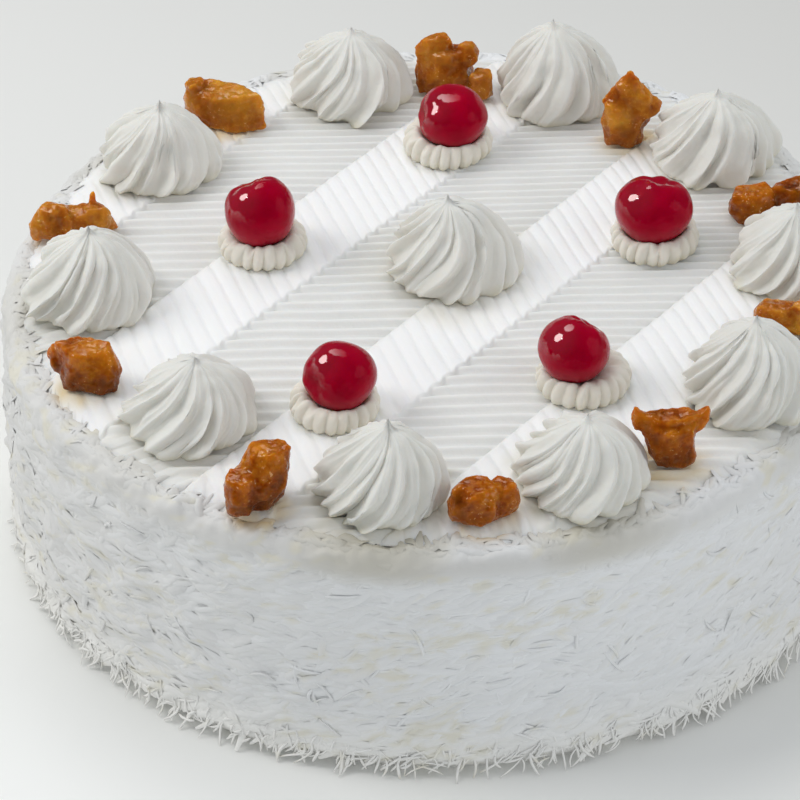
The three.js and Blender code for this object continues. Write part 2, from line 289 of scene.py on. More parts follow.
def icingFinish():
    finish = Finish("icingWhite", Subsurface_Weight=0.25, Subsurface_Scale=2 * mm, **creamGlow)
    clouds = finish.noise(14 * mm, detail=4)
    # painted shade and light: the level bands get a darker copy of the icing, the slanted bands a lighter one
    level = finish.mixColour(clouds, *colours["icingLevelShaded"])
    slantedLit = finish.mixColour(clouds, *colours["icingSlantedLit"])
    colour = finish.mixColour(finish.painted("level"), slantedLit, level)
    # painted shade with a buttery tint along the feet of the swirls
    colour = finish.mixColour(finish.painted("base"), colour, colours["icingFootShadeAndButter"])
    colour = finish.mixColour(finish.painted("syrup"), colour, colours["icingSyrup"])
    smear = finish.noise(4 * mm, detail=3)
    return finish.feed(Base_Color=colour, Roughness=0.42 + 0.2 * smear, Normal=creamNormal(finish, smear))


def pipedFinish(name, low, high):
    finish = Finish(name, Subsurface_Weight=0.4, Subsurface_Scale=3 * mm, **creamGlow)
    colour = finish.mixColour(finish.noise(14 * mm, detail=4), low, high)
    # painted shade and a buttery olive tint at the foot, where the cream meets the icing
    foot = finish.clampRange(finish.along("Z") + 4 * mm * finish.noise(5 * mm), 79.6 * mm, 76 * mm)
    colour = finish.mixColour(0.75 * foot, colour, colours["pipedFootShadeAndButter"])
    # painted shade: darker in the valleys between the ridges
    colour = finish.mixColour(0.4 * finish.painted("valley"), colour, colours["pipedValleyShade"])
    smear = finish.noise(4 * mm, detail=3)
    return finish.feed(Base_Color=colour, Roughness=0.42 + 0.2 * smear, Normal=creamNormal(finish, smear))


def coconutFinish():
    finish = Finish("coconutWhite", IOR=1.42)
    # the foot is creamier, and is painted lighter as well to lift the shade among the foot strips
    foot = finish.clampRange(finish.along("Z") + 9 * mm * finish.noise(12 * mm), 24 * mm, 7 * mm)
    # tone is each strip's own tone less the painted shade, so a low tone takes the deep colour
    colour = finish.mixColour(finish.painted("tone"), colours["coconutDeepAndShade"], colours["coconutPale"])
    colour = finish.mixColour(0.8 * foot, colour, colours["coconutFoot"])
    # the base colour is painted shade with a buttery tint along the feet of the swirls
    for name in ("hollow", "base", "syrup"):
        colour = finish.mixColour(finish.painted(name), colour, colours["coconut" + name.title()])
    fibre = finish.noise(0.6 * mm, detail=3)
    return finish.feed(Base_Color=colour, Roughness=0.5 + 0.2 * fibre, Normal=finish.bump(fibre, 0.03 * mm))


def cherryFinish():
    finish = Finish("cherrySkin", Subsurface_Weight=0.3, Subsurface_Radius=(1.0, 0.08, 0.08),
                    Subsurface_Scale=3 * mm, IOR=1.45, Coat_Roughness=0.04, Coat_IOR=2.0,
                    Specular_Tint=(1.0, 0.03, 0.08, 1), Specular_IOR_Level=0.35)
    mottled = finish.noise(5 * mm, detail=3)
    colour = finish.mixColour(mottled, *colours["cherry"])
    normal = finish.bump(finish.noise(2.2 * mm, detail=2), 0.14 * mm)
    return finish.feed(Base_Color=colour, Roughness=0.12 + 0.08 * mottled,
                       Coat_Weight=0.02 + 0.98 * finish.painted("shine"), Normal=normal)


def fruitFinish(name, dark, amber, bright):
    finish = Finish(name, Subsurface_Weight=0.75, Subsurface_Radius=(1.0, 0.45, 0.1),
                    Subsurface_Scale=7 * mm, IOR=1.45, Coat_Roughness=0.06,
                    Specular_Tint=(1.0, 0.5, 0.15, 1))
    flesh = finish.noise(10 * mm, detail=2)
    fine = finish.noise(1.6 * mm, detail=3, roughness=0.55)
    stops = [(0.33, dark), (0.5, amber), (0.68, bright)]
    colour = finish.node("ShaderNodeValToRGB", {"stops": stops}, {"Fac": 0.75 * flesh + 0.25 * fine})
    # painted light: edges and thin places lighter and yellower, standing in for light shining through them
    colour = finish.mixColour(0.8 * finish.painted("edge"), colour, bright)
    colour = finish.mixColour(finish.painted("low"), colour, dark)
    sugar = finish.clampRange(finish.noise(0.8 * mm, detail=1), 0.66, 0.72)
    sugar = sugar * finish.clampRange(finish.noise(5 * mm, detail=1), 0.52, 0.62)
    colour = finish.mixColour(0.5 * sugar, colour, colours["sugar"])
    normal = finish.bump(fine, 0.18 * mm)
    wet = finish.clampRange(finish.noise(3 * mm, detail=2), 0.44, 0.6)
    return finish.feed(Base_Color=colour, Roughness=finish.clampRange(fine, 0.3, 0.7, 0.12, 0.35),
                       Coat_Weight=0.9 * wet * finish.painted("shine"), Normal=normal)


icingWhite = icingFinish()
pipedWhite = pipedFinish("pipedWhite", *colours["piped"])
rosetteWhite = pipedFinish("rosetteWhite", *colours["rosette"])
coconutWhite = coconutFinish()
cherrySkin = cherryFinish()
fruitAmber = fruitFinish("fruitAmber", *colours["fruitAmber"])
fruitBrown = fruitFinish("fruitBrown", *colours["fruitBrown"])
print("materials ready")


# topPixel is where the middle of the icing falls in the picture, elevation and roll are in degrees
cameraSettings = dict(elevation=37.11, reach=1.248, lens=205.97, sensor=36.0, topPixel=(439.2, 277.3),
                      imageSize=800, roll=0.99, topHeight=75 * mm)


def addCamera(elevation, reach, lens, sensor, topPixel, imageSize, roll, topHeight):
    rise, lean = math.radians(elevation), math.radians(roll)
    forward = Vector((0, math.cos(rise), -math.sin(rise)))
    right, up = Vector((1, 0, 0)), Vector((0, math.sin(rise), math.cos(rise)))
    leanRight = math.cos(lean) * right - math.sin(lean) * up
    leanUp = math.sin(lean) * right + math.cos(lean) * up
    focalPixels = lens / sensor * imageSize
    across = (topPixel[0] - imageSize / 2) / focalPixels
    above = (imageSize / 2 - topPixel[1]) / focalPixels
    place = Vector((0, 0, topHeight)) - reach * (forward + across * leanRight + above * leanUp)
    data = bpy.data.cameras.new("camera")
    data.lens = lens
    data.sensor_width = sensor
    camera = bpy.data.objects.new("camera", data)
    turn = Matrix((leanRight, leanUp, -forward)).transposed().to_4x4()
    camera.matrix_world = Matrix.Translation(place) @ turn
    bpy.context.scene.collection.objects.link(camera)
    bpy.context.scene.camera = camera


def addFloor(size, near, far):
    dropSelection()
    bpy.ops.mesh.primitive_plane_add(size=size)
    floor = takeNew("floor")
    finish = Finish("floorPaper", Roughness=0.55)
    paintedFalloff = finish.clampRange(finish.along("Y") + 0.8 * finish.along("X"), -0.2, 0.35)   # painted shade: the floor darkens to the back right, as the light falls off
    floor.data.materials.append(finish.feed(Base_Color=finish.mixColour(paintedFalloff, near, far)))


def addLight(name, place, aim, size, power, colour):
    data = bpy.data.lights.new(name, "AREA")
    data.shape = "DISK"
    data.size = size
    data.energy = power
    data.color = colour
    light = bpy.data.objects.new(name, data)
    light.location = place
    light.rotation_euler = (Vector(aim) - Vector(place)).to_track_quat("-Z", "Y").to_euler()
    bpy.context.scene.collection.objects.link(light)


def addWorld(colour, brightness, glossyBrightness):   # the room is dimmer in reflections than as light
    world = bpy.data.worlds.new("softRoom")
    bpy.context.scene.world = world
    world.use_nodes = True
    room = world.node_tree.nodes["Background"]
    room.inputs["Color"].default_value = colour
    rays = world.node_tree.nodes.new("ShaderNodeLightPath")
    dimming = world.node_tree.nodes.new("ShaderNodeMapRange")
    dimming.inputs["To Min"].default_value = brightness
    dimming.inputs["To Max"].default_value = glossyBrightness
    world.node_tree.links.new(rays.outputs["Is Glossy Ray"], dimming.inputs["Value"])
    world.node_tree.links.new(dimming.outputs["Result"], room.inputs["Strength"])


addCamera(**cameraSettings)
addFloor(size=6, near=(0.93, 0.935, 0.915), far=(0.69, 0.685, 0.66))
addLight("keyLight", (-0.87, 0.1, 0.92), (0, 0, 0.06), size=0.6, power=4.6, colour=(1.0, 0.985, 0.96))
addLight("fillLight", (1.05, -0.3, 0.5), (0, 0, 0.03), size=0.8, power=2.1, colour=(0.99, 0.995, 1.0))
addLight("sparkLight", (-0.7, -0.15, 1.05), (0, 0, 0.06), size=0.09, power=0.35, colour=(1.0, 0.99, 0.98))
addLight("backLight", (-0.16, 0.88, 1.62), (0, 0, 0.06), size=1.0, power=6.6, colour=(1.0, 1.0, 1.0))
addWorld(colour=(0.95, 0.985, 1.02, 1), brightness=0.545, glossyBrightness=0.07)
bpy.context.scene.view_settings.view_transform = "Standard"
print("camera, floor and light ready")


# The combed icing is a grid laid along the bands of the comb, with a skirt pulled down from its round edge.
# The core carries the coat under it. Sizes are in millimetres, and waves are a depth, a size and a seed.
comb = dict(turn=51, edges=[-125, -87, -53.5, -28, 5.5, 29, 58.5, 88, 125], nearSlant=-0.65, farSlant=0.824,
            firstGroove=-27, lastGroove=38, pitch=5.1, pitchFade=13.2, fadeGrooves=12, crest=75.0,
            nearDepth=0.6, farDepth=1.7, flatness=3.5, skew=1.12, rowsPerGroove=8,
            edgeGaps=[0, 0.45, 1.1, 2.2], columnGap=3.2, blend=1.2, scallop=1.0, scallopWidth=1.5,
            lip=0.3, farLip=-0.8, lipWidth=1.1, grooveWaves=[(0.09, 22, 0), (0.05, 7, 3)],
            depthWave=(0.3, 12, 5), heightWave=(0.3, 30, 7), sink=0.1, highest=0.15,
            reach=113.5, fadeFrom=104, fadeDepth=2.4, flattening=0.85, skirt=72.0)
core = dict(columns=450, rows=50, heaving=([2, 6, 69, 72.5], [0, 1, 1, 0]), tufted=([66, 70], [0, 1]),
            outline=[(0, 115.5), (1.6, 116.5), (3, 118.6), (5, 119.3), (68.5, 119.4), (71.5, 118.2),
                     (72.9, 115.5), (72.3, 108)])
footShade = dict(width=4.5, outerWidth=7, outerRun=18, back=0.35, frontPower=6, lowest=63, run=5)
syrupStain = dict(share=0.75, reach=4, upward=0.6)
swirlNodes = [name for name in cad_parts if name.startswith("swirl")]
fruitNodes = [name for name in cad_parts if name.startswith("fruit")]


def noiseAt(x, y, z, across, up, seed):   # smooth noise, one number for each place, all in millimetres
    spots = zip(x.ravel() / across, y.ravel() / across, z.ravel() / up + seed)
    return np.array([noise.noise(spot) for spot in spots]).reshape(x.shape)


def wave(x, y, depth, size, seed):
    return depth * noiseAt(x, y, 0 * x, size, size, seed)


def footShadeTint(places):   # how much painted shade and buttery tint the cream gets along the foot of a swirl, widest on the rim and strongest at the front
    tint = np.zeros(len(places))
    reach = np.linalg.norm(places[:, :2], axis=1) + 1e-9
    for name in swirlNodes:
        low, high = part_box(name)
        centre = (low + high) / 2
        away = np.linalg.norm(places[:, :2] - np.array(centre.xy), axis=1) - (high.x - low.x) / 2
        outer = np.clip((reach - centre.xy.length) / (footShade["outerRun"] * mm), 0, 1)
        width = (footShade["width"] + footShade["outerWidth"] * outer) * mm
        tint = np.maximum(tint, np.clip(1 - away / width, 0, 1) ** (1.3 - 0.6 * outer))
    front = np.clip(-places[:, 1] / reach, 0, 1) ** footShade["frontPower"]
    rise = np.clip((places[:, 2] / mm - footShade["lowest"]) / footShade["run"], 0, 1)
    return (footShade["back"] + (1 - footShade["back"]) * front) * tint * rise


def syrupAt(places):   # how stained the cream is, from the nearest chunk of fruit
    stain = np.zeros(len(places))
    for name in fruitNodes:
        low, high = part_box(name)
        centre = np.array(((low.x + high.x) / 2, (low.y + high.y) / 2, low.z))
        half = max(high.x - low.x, high.y - low.y) / 2
        away = np.linalg.norm((places - centre) * (1, 1, syrupStain["upward"]), axis=1)
        away = (away - half * syrupStain["share"]) / (syrupStain["reach"] * mm)
        stain = np.maximum(stain, np.clip(1 - away, 0, 1) ** 2)
    return stain


def combGrid(settings):
    columns = []
    for low, high in zip(settings["edges"], settings["edges"][1:]):
        gaps = settings["edgeGaps"]
        count = round((high - low - 2 * gaps[-1]) / settings["columnGap"])
        columns += [low + gap for gap in gaps[:-1]]
        columns += list(np.linspace(low + gaps[-1], high - gaps[-1], count))
        columns += [high - gap for gap in gaps[-2:0:-1]]
    columns.append(settings["edges"][-1])
    rows = (settings["lastGroove"] - settings["firstGroove"]) * settings["rowsPerGroove"]
    s, v = np.meshgrid(np.array(columns), settings["firstGroove"] + np.arange(rows + 1)
                       / settings["rowsPerGroove"])
    return s, v


def combSurface(settings, s, v):   # places in millimetres
    edges = np.array(settings["edges"], float)
    slants = [settings["farSlant" if band % 2 else "nearSlant"] for band in range(len(edges) - 1)]
    zigzag = np.concatenate(([0], np.cumsum(np.diff(edges) * slants)))
    shift = np.interp(s, edges, zigzag) - np.interp(0, edges, zigzag)
    t = settings["pitch"] * v - settings["pitchFade"] * np.log(np.cosh(v / settings["fadeGrooves"])) + shift
    away = np.abs(s[..., None] - edges[1:-1])
    nearest = away.argmin(axis=-1)
    away = away.min(axis=-1)
    band = np.clip(np.searchsorted(edges, s, side="right") - 1, 0, len(edges) - 2)
    outward = np.where(nearest % 2 == 1, -1, 1)   # from a near band to the far band beside it
    scallop = settings["scallop"] * (0.5 + 0.5 * np.cos(2 * np.pi * v))
    moved = s + outward * scallop * np.exp(-(away / settings["scallopWidth"]) ** 2)
    turn = math.radians(settings["turn"])
    x = moved * math.sin(turn) + t * math.cos(turn)
    y = -moved * math.cos(turn) + t * math.sin(turn)
    across = (v + sum(wave(x, y, *shape) for shape in settings["grooveWaves"])) % 1
    near = np.clip(0.5 + np.where(band % 2 == 0, 1, -1) * away / settings["blend"], 0, 1)
    flatRidge = 1 - np.abs(2 * across - 1) ** settings["flatness"]
    roundRidge = 0.5 - 0.5 * np.cos(2 * np.pi * across ** settings["skew"])
    dip = (1 + wave(x, y, *settings["depthWave"])) * (
        near * settings["nearDepth"] * (1 - flatRidge) + (1 - near) * settings["farDepth"] * (1 - roundRidge))
    lip = np.where(band % 2 == 0, 1, settings["farLip"]) * np.exp(-(away / settings["lipWidth"]) ** 2)
    run = np.clip((np.hypot(x, y) - settings["fadeFrom"]) / (settings["reach"] - settings["fadeFrom"]), 0, 1)
    dip = dip * (1 - settings["flattening"] * run) + settings["fadeDepth"] * run ** 3
    z = settings["crest"] - settings["sink"] - dip + settings["lip"] * lip
    z = z + wave(x, y, *settings["heightWave"])
    return np.stack((x, y, np.minimum(z, settings["crest"] + settings["highest"])), axis=-1)


# layers are a depth, a size across, a size up and a seed; loose is a bearing, a power and a share
coat = dict(loose=[(192, 1.5, 1), (345, 3, 0.4)], climb=25,
            strands=[(0.5, 16, 9, 0), (0.24, 9, 2.4, 9), (0.1, 5, 1.2, 21)],
            clumps=[(2.2, 9, 6, 33), (0.9, 3.6, 2.6, 47)], tufts=[(1.3, 6, 81), (0.9, 2.6, 91)],
            tuftReach=[108, 112, 118.8, 120], tuftShare=[0, 1, 1, 0.4],
            hollowFine=(1, 4.5, 2.4, 31), hollowBroad=(0.5, 22, 15, 57), hollowFrom=0.28, hollowRun=0.35,
            looseShade=0.7, rimShade=0.8, rimHeight=69.5, rimWidth=4, coreTone=0.85)


def fluffAt(angle):   # how loose the coat is: most on the left, some on the right, none at the front
    return sum(share * np.clip(np.cos(angle - math.radians(bearing)), 0, 1) ** power
               for bearing, power, share in coat["loose"])


def laidHeight(x, y, z):   # height across the strands, which climb to the right at the front
    return z - coat["climb"] * x / np.hypot(x, y)


def layered(x, y, z, *layers):
    return sum(depth * noiseAt(x, y, z, across, up, seed) for depth, across, up, seed in layers)


def coatRelief(x, y, z):   # heaves and matted strands of the coat
    strands = layered(x, y, laidHeight(x, y, z), *coat["strands"])
    return strands + fluffAt(np.arctan2(y, x)) * layered(x, y, z, *coat["clumps"])


def rimRelief(x, y):   # tufts along the rim
    tufts = sum(wave(x, y, *shape) for shape in coat["tufts"])
    return np.interp(np.hypot(x, y), coat["tuftReach"], coat["tuftShare"]) * tufts


def coatShade(x, y, z):   # painted shade: how much darker the coat is where it is loose, and along the front of the rim
    front = np.clip(-y / np.hypot(x, y), 0, 1) ** 3
    rim = front * np.exp(-((z - coat["rimHeight"]) / coat["rimWidth"]) ** 2)
    return coat["looseShade"] * fluffAt(np.arctan2(y, x)) + coat["rimShade"] * rim


def hollowTint(x, y, z):   # where the coat shows small olive hollows
    spots = layered(x, y, laidHeight(x, y, z), coat["hollowFine"]) + layered(x, y, z, coat["hollowBroad"])
    return np.clip((spots - coat["hollowFrom"]) / coat["hollowRun"], 0, 1)


def paintCoat(mesh, tone, hollow, syrup):
    places = getPlaces(mesh)
    x, y, z = places.T / mm
    # painted shade: the coat's own tone is lowered where it is loose and along the front of the rim
    paint(mesh, "tone", np.clip(tone - coatShade(x, y, z), 0, 1))
    paint(mesh, "hollow", hollow * hollowTint(x, y, z))
    # painted shade and a buttery tint along the feet of the swirls
    paint(mesh, "base", footShadeTint(places))
    paint(mesh, "syrup", syrup * syrupAt(places))


def levelShadeBand(settings, places):   # 1 on the bands whose grooves run straight across, which are painted darker as painted shade
    turn = math.radians(settings["turn"])
    s = (places[:, 0] * math.sin(turn) - places[:, 1] * math.cos(turn)) / mm
    away = s[:, None] - np.array(settings["edges"][1:-1])
    signs = np.where(np.arange(len(settings["edges"]) - 2) % 2 == 0, 0.5, -0.5)
    return np.clip((np.tanh(away / 0.8) * signs).sum(axis=1) + 0.5 * (len(signs) % 2), 0, 1)


def makeIcing():
    s, v = combGrid(comb)
    dropSelection()
    bpy.ops.mesh.primitive_grid_add(x_subdivisions=s.shape[1] - 1, y_subdivisions=s.shape[0] - 1, size=2)
    icing = takeNew("combedIcing")
    flat = getPlaces(icing.data)
    column = np.rint((flat[:, 0] + 1) / 2 * (s.shape[1] - 1)).astype(int)
    row = np.rint((flat[:, 1] + 1) / 2 * (s.shape[0] - 1)).astype(int)
    setPlaces(icing.data, combSurface(comb, s, v)[row, column] * mm)
    editVerts(icing, lambda vert: vert.co.xy.length > comb["reach"] * mm)
    bpy.ops.mesh.delete(type="VERT")
    bpy.ops.mesh.select_non_manifold(extend=False, use_wire=False, use_multi_face=False,
                                     use_non_contiguous=False, use_verts=False)
    bpy.ops.mesh.extrude_edges_move()
    mesh = bmesh.from_edit_mesh(icing.data)
    for vert in [vert for vert in mesh.verts if vert.select]:   # the skirt's lower edge
        vert.co.z = comb["skirt"] * mm
        for other in [edge.other_vert(vert) for edge in vert.link_edges] + [vert]:
            if not other.select or other is vert:
                other.co.xy = comb["reach"] * mm * other.co.xy.normalized()
                other.co.z = min(other.co.z, (comb["crest"] - comb["fadeDepth"]) * mm)
    bmesh.update_edit_mesh(icing.data)
    bpy.ops.mesh.select_all(action="SELECT")
    bpy.ops.mesh.normals_make_consistent(inside=False)
    smooth(icing)
    places = getPlaces(icing.data)
    patches = 0.6 + 0.8 * noiseAt(*(places.T / mm), 5, 5, 71)
    paint(icing.data, "syrup", 0.7 * syrupAt(places) * patches)
    # painted shade and a buttery tint along the feet of the swirls
    paint(icing.data, "base", 0.7 * footShadeTint(places) * patches)
    # painted shade: the level bands are painted darker than the slanted ones
    paint(icing.data, "level", levelShadeBand(comb, places))
    finishPiece(icing, icingWhite, "icing", "cake_body")


def makeCore():
    outline = np.array(core["outline"], float)
    path = np.concatenate(([0], np.cumsum(np.hypot(*np.diff(outline, axis=0).T))))
    along = np.linspace(0, path[-1], core["rows"])
    rise, turn = np.meshgrid(np.interp(along, path, outline[:, 0]),
                             np.arange(core["columns"]) * 2 * np.pi / core["columns"], indexing="ij")
    reach = np.interp(along, path, outline[:, 1])[:, None]
    places = np.stack((reach * np.cos(turn), reach * np.sin(turn), rise), axis=-1) * mm
    piece, order = ringedPiece("icingCore", core["columns"], core["rows"])
    setPlaces(piece.data, inOrder(order, places.reshape(-1, 3)))
    subdivide(piece, 1)
    x, y, z = getPlaces(piece.data).T / mm
    heave = np.interp(z, *core["heaving"]) * coatRelief(x, y, z) / np.hypot(x, y)
    x, y = x * (1 + heave), y * (1 + heave)
    z = z + np.interp(z, *core["tufted"]) * rimRelief(x, y)
    setPlaces(piece.data, np.stack((x, y, z), axis=-1) * mm)
    closeRings(piece)
    smooth(piece)
    paintCoat(piece.data, coat["coreTone"], hollow=0.6, syrup=0.6)
    finishPiece(piece, coconutWhite, "icing", "cake_body")


makeCore()
makeIcing()
print("combed icing ready")


# A swirl or rosette is a fluted ring extruded up in turning, shrinking steps. An outline holds shares of the
# height and the radius, deepness holds heights and shares of the depth, and folds, wander, ruffle, sway and
# lips are a depth, a size and a seed.
swirl = dict(foot=0.7, phases=12, depth=0.14, power=1.7, jitter=0.2, twistPower=1.4, heave=0.035, dome=0.94,
             deepness=([0.07, 0.2, 0.7, 0.92, 1], [0.35, 1, 1, 0.6, 0.15]), wander=(0.8, 2.5, 0),
             folds=[(0.1, 6, 20), (0.06, 13, 40)], ruffle=(0.22, 4, 60), ruffleTop=0.25, sway=(0.16, 1.6, 80),
             wobble=1.9, dimple=0.42, tipSize=1.7, tipPull=0.45, tipLift=1.1, outline=[
                 (0, 0.85), (0.03, 0.93), (0.09, 0.98), (0.17, 1.0), (0.27, 0.985), (0.38, 0.93), (0.5, 0.84),
                 (0.61, 0.725), (0.71, 0.595), (0.79, 0.47), (0.855, 0.35), (0.905, 0.25), (0.94, 0.165),
                 (0.965, 0.1), (0.985, 0.05), (1.0, 0.012)])
swirlHabits = {   # marks: bearing, share of the height, size and push in mm
    "swirl_01": dict(ridges=17, twist=46, lean=1.2, seed=1, marks=[(300, 0.1, 4, -0.9), (200, 0.5, 5, 0.8)]),
    "swirl_02": dict(ridges=16, twist=40, lean=1.3, seed=2, marks=[
        (250, 0.55, 4, -1.2), (285, 0.6, 4, -1.0), (320, 0.5, 4, -0.9), (230, 0.3, 5, 0.8)]),
    "swirl_03": dict(ridges=17, twist=52, lean=1.2, seed=3, marks=[
        (240, 0.25, 4, -1.5), (215, 0.35, 3, -1.0), (262, 0.12, 3, 1.0), (330, 0.3, 6, 0.9)]),
    "swirl_04": dict(ridges=16, twist=50, lean=2.2, seed=4, marks=[(250, 0.02, 5, 1.0), (20, 0.6, 6, 0.9)]),
    "swirl_05": dict(ridges=17, twist=54, lean=2.1, seed=5, marks=[
        (235, 0.12, 2.5, -1.4), (255, 0.2, 2.5, -1.0), (290, 0.08, 3, 0.9), (310, 0.1, 2.5, -1.0)]),
    "swirl_06": dict(ridges=16, twist=52, lean=2.2, seed=6, marks=[(275, 0.1, 4, 1.0), (210, 0.4, 5, 0.6)]),
    "swirl_07": dict(ridges=17, twist=56, lean=1.0, seed=7, marks=[(220, 0.2, 4, -0.9), (300, 0.6, 4, 0.7)]),
    "swirl_08": dict(ridges=16, twist=48, lean=0.4, seed=8, marks=[(240, 0.5, 4, -0.9), (280, 0.15, 5, 1.0)]),
    "swirl_09": dict(ridges=17, twist=44, lean=0.4, seed=9, marks=[(310, 0.4, 4, -0.8), (240, 0.1, 4, 0.9)]),
    "swirl_10": dict(ridges=17, twist=42, lean=-1.7, seed=10, marks=[
        (240, 0.3, 5, 0.9), (330, 0.5, 5, -0.8)]),
    "swirl_centre": dict(ridges=18, twist=54, lean=-1.2, seed=12, marks=[
        (350, 0.86, 4.5, 1.3), (300, 0.3, 3, -1.0), (318, 0.2, 3, -0.9), (335, 0.1, 4, 1.4)]),
}
creamWobble = cloudTexture("creamWobble", 9 * mm)
creamDimples = cloudTexture("creamDimples", 2.4 * mm)


# the bearing, cut, rise and valley of each column of a fluted ring
def fluteShares(ridges, phases, depth, power, jitter, heave, chance):
    share = np.array(phases)[None, :]
    offset = chance.normal(0, jitter, ridges)[:, None]
    bearing = np.arange(ridges)[:, None] + share + offset * (1 - share) + np.roll(offset, -1, axis=0) * share
    crest = chance.normal(0, heave, ridges)[:, None]
    rise = crest * (1 - share) + np.roll(crest, -1, axis=0) * share
    valley = 1 - (1 - 2 * np.minimum(share, 1 - share)) ** power
    cut = depth * valley * chance.uniform(0.6, 1.25, ridges)[:, None]
    return bearing.ravel() * 2 * np.pi / ridges, cut.ravel(), rise.ravel(), np.tile(valley.ravel(), ridges)


def foldNoise(angle, heights, seed, depth, size, extra):   # seamless round the ring, long up its ridges
    folds = [[noise.noise((size * math.cos(bearing), size * math.sin(bearing), height * 2.2 + seed + extra))
              for bearing in angle] for height in heights.ravel()]
    return depth * np.array(folds)


def makeSwirl(node, ridges, twist, lean, seed, marks):
    low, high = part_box(node)
    radius = (high.x - low.x) / 2
    foot = low.z - swirl["foot"] * mm
    tall = high.z - foot
    centre = (low + high) / 2
    phases = np.arange(swirl["phases"]) / swirl["phases"]
    angle, cut, rise, valley = fluteShares(ridges, phases, swirl["depth"], swirl["power"], swirl["jitter"],
                                           swirl["heave"], np.random.default_rng(seed))
    heights, reaches = (column[:, None] for column in np.array(swirl["outline"]).T)
    deep = np.interp(heights, *swirl["deepness"])
    wander = 1 + foldNoise(angle, heights, seed, *swirl["wander"])
    folds = sum(foldNoise(angle, heights, seed, *shape) for shape in swirl["folds"])
    ruffle = foldNoise(angle, heights, seed, *swirl["ruffle"])
    ruffle = ruffle * np.clip(1 - heights / swirl["ruffleTop"], 0, 1)
    reach = radius * reaches * (1 + rise + ruffle - deep * (cut * wander + folds))
    turn = angle + math.radians(twist) * (1 - (1 - heights) ** swirl["twistPower"])
    turn = turn + foldNoise(angle, heights, seed, *swirl["sway"]) * np.clip(heights * 4, 0, 1)
    x = centre.x + reach * np.cos(turn) + lean * mm * heights ** 2
    y = centre.y + reach * np.sin(turn)
    z = foot + swirl["dome"] * tall * heights + 0 * x
    piece, order = ringedPiece(node + "_cream", len(angle), len(heights))
    setPlaces(piece.data, inOrder(order, np.stack((x, y, z), axis=-1).reshape(-1, 3)))
    # painted shade for the valleys between the ridges, fading towards the tip
    paint(piece.data, "valley", inOrder(order, (valley * np.clip(1.15 - heights, 0, 1)).ravel()))
    subdivide(piece, 1)
    closeRings(piece)
    roughen(piece, creamWobble, swirl["wobble"] * mm)
    roughen(piece, creamDimples, swirl["dimple"] * mm)
    placed = []
    for bearing, height, size, push in marks:
        spot = radius * np.interp(height, heights.ravel(), reaches.ravel())
        way = math.radians(bearing)
        place = (centre.x + spot * math.cos(way), centre.y + spot * math.sin(way), foot + height * tall)
        placed.append((place, size, push))
    pushMarks(piece, placed)
    tipLift = (1 - swirl["dome"]) * tall + swirl["tipLift"] * mm
    pinchTip(piece, swirl["tipSize"] * mm, swirl["tipPull"], tipLift, high.z)
    smooth(piece)
    finishPiece(piece, pipedWhite, "piped_cream", node)


for node, habits in swirlHabits.items():
    makeSwirl(node, **habits)
print("swirls ready")

rosette = dict(foot=0.7, lobes=22, phases=[0, 0.2, 0.36, 0.5, 0.64, 0.8], depth=0.12, power=0.45, jitter=0.15,
               heave=0.01, twist=10, lips=(1.6, 5, 90), wobble=0.5, dimple=0.2, cherryGap=0.15, outline=[
                   (0, 0.86), (0.1, 0.94), (0.28, 0.99), (0.45, 1.0), (0.62, 0.985), (0.78, 0.94),
                   (0.9, 0.87), (0.98, 0.78), (1.0, 0.69), (0.96, 0.6), (0.88, 0.5), (0.8, 0.35),
                   (0.76, 0.18)])


def makeRosette(index):
    node = f"rosette_{index}"
    low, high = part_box(node)
    cherryLow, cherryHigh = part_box(f"cherry_{index}")
    radius = (high.x - low.x) / 2
    foot = low.z - rosette["foot"] * mm
    centre = (low + high) / 2
    angle, cut, rise, valley = fluteShares(rosette["lobes"], rosette["phases"], rosette["depth"],
                                           rosette["power"], rosette["jitter"], rosette["heave"],
                                           np.random.default_rng(60 + index))
    heights, reaches = (column[:, None] for column in np.array(rosette["outline"]).T)
    reach = radius * reaches * (1 + rise - cut * np.clip(reaches * 2 - 0.8, 0, 1))
    turn = angle + math.radians(rosette["twist"]) * np.linspace(0, 1, len(heights))[:, None]
    x, y = centre.x + reach * np.cos(turn), centre.y + reach * np.sin(turn)
    lips = foldNoise(angle, heights, index, *rosette["lips"]) * np.clip(heights * 3 - 1.6, 0, 1)
    z = foot + (high.z - foot) * heights + mm * lips
    seat, half = (cherryLow + cherryHigh) / 2, (cherryHigh - cherryLow) / 2
    within = np.clip(1 - ((x - seat.x) / half.x) ** 2 - ((y - seat.y) / half.y) ** 2, 0, 1)
    under = seat.z - half.z * np.sqrt(within) - rosette["cherryGap"] * mm
    z = np.maximum(np.minimum(z, np.where(within > 0, under, 1)), foot + 0.3 * mm * (heights > 0))
    piece, order = ringedPiece(node + "_cream", len(angle), len(heights))
    setPlaces(piece.data, inOrder(order, np.stack((x, y, z), axis=-1).reshape(-1, 3)))
    # painted shade for the valleys between the lobes
    paint(piece.data, "valley", inOrder(order, (valley + 0 * heights).ravel()))
    subdivide(piece, 1)
    closeRings(piece)
    roughen(piece, creamWobble, rosette["wobble"] * mm)
    roughen(piece, creamDimples, rosette["dimple"] * mm)
    smooth(piece)
    finishPiece(piece, rosetteWhite, "piped_cream", node)


for index in range(1, 6):
    makeRosette(index)
print("rosettes ready")


